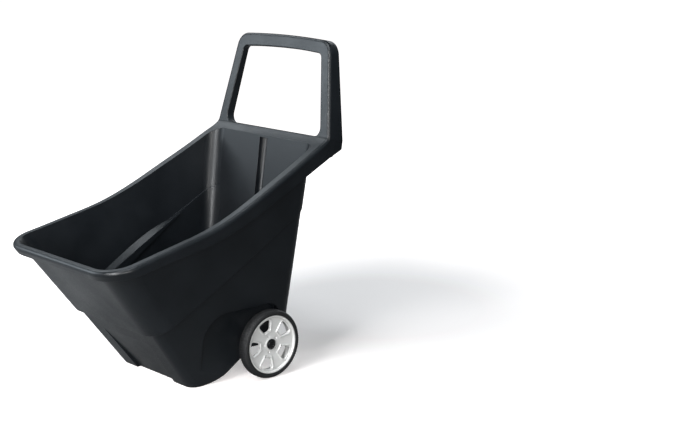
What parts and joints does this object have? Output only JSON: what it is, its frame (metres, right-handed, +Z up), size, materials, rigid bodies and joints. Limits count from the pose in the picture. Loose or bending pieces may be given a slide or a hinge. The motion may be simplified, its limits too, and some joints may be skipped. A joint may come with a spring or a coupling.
{
  "type": "garden cart",
  "caption": "Deep moulded garden cart with a scoop front, an integral frame handle and two wheels on a rear axle.",
  "frame": {"origin": "on the floor, below the middle of the bounding box", "axes": "+Z up, +X across the cart along the axle, the scoop lip towards -Y and the handle towards +Y"},
  "size_m": [0.5074, 0.7714, 0.8554],
  "materials": {
    "tub_plastic": "satin",
    "grip_plastic": "matte",
    "rim_plastic": "silver grey satin",
    "cap_plastic": "satin",
    "tyre_rubber": "matte",
    "axle_steel": "drawn",
    "screw_steel": "zinc plated"
  },
  "bodies": {
    "cart": {"tub": "tub_plastic", "grip_shell": "grip_plastic", "axle": "axle_steel", "axle_cover": "tub_plastic", "cover_screws": "screw_steel", "spacer_right": "cap_plastic", "inner_washer_right": "screw_steel", "outer_washer_right": "screw_steel", "push_nut_right": "screw_steel", "spacer_left": "cap_plastic", "inner_washer_left": "screw_steel", "outer_washer_left": "screw_steel", "push_nut_left": "screw_steel"},
    "wheel_right": {"rim_right": "rim_plastic", "tyre_right": "tyre_rubber", "hub_cap_right": "cap_plastic"},
    "wheel_left": {"rim_left": "rim_plastic", "tyre_left": "tyre_rubber", "hub_cap_left": "cap_plastic"}
  },
  "joints": [
    {"name": "wheel_right_spin", "type": "hinge", "parent": "cart", "child": "wheel_right", "pos_m": [0.2145, 0.1185, 0.09], "axis": [1, 0, 0], "continuous": true},
    {"name": "wheel_left_spin", "type": "hinge", "parent": "cart", "child": "wheel_left", "pos_m": [-0.2145, 0.1185, 0.09], "axis": [1, 0, 0], "continuous": true}
  ]
}
